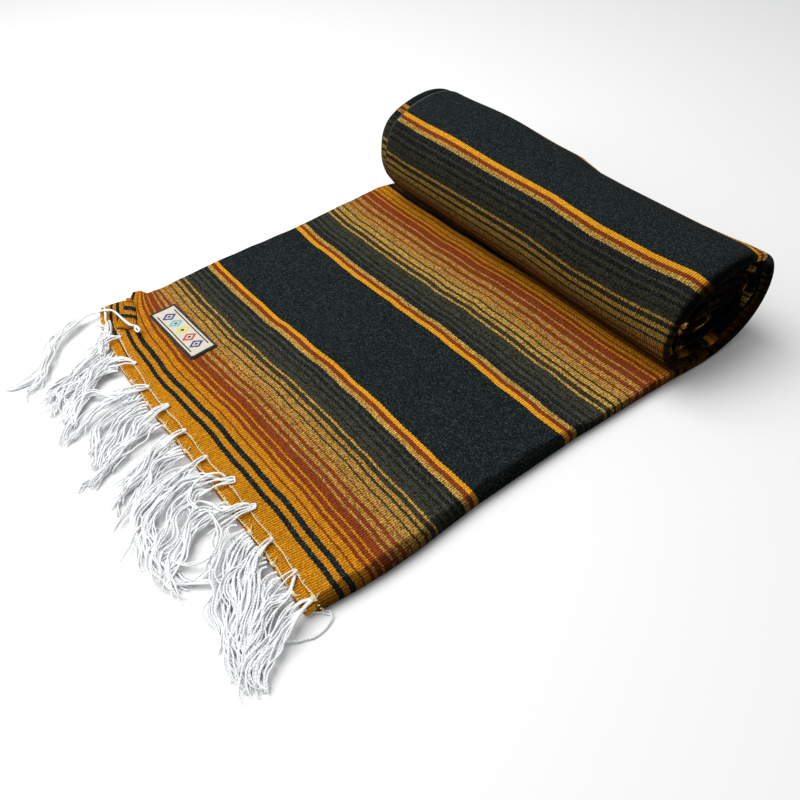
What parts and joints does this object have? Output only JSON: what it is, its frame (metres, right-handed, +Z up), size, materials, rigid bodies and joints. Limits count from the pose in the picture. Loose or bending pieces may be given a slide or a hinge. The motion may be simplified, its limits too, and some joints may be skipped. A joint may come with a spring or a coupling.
{
  "type": "mexican serape",
  "caption": "Striped woven blanket with knotted fringe, folded in four lengthwise and rolled up from one end, the rest laid flat.",
  "frame": {"origin": "middle of the bounding box on the plane the cloth rests on", "axes": "+Y runs along the warp from the fringe to the roll, +X runs along the weft from the open long edge to the folded one, and +Z is up"},
  "size_m": [0.4, 0.517, 0.0942],
  "materials": {
    "striped_cloth": "matte",
    "golden_cloth": "matte",
    "dark_cloth": "matte",
    "label": "matte",
    "white_yarn": "matte"
  },
  "bodies": {
    "root": {"outer_leaf_flat": "striped_cloth", "inner_leaves_flat": "golden_cloth", "outer_leaf_roll": "dark_cloth", "inner_leaves_roll": "striped_cloth", "inner_turns": "striped_cloth", "roll_heart": "dark_cloth", "turned_corner": "golden_cloth", "label_patch": "label", "fringe_upper": "white_yarn", "fringe_lower": "white_yarn"}
  },
  "joints": []
}
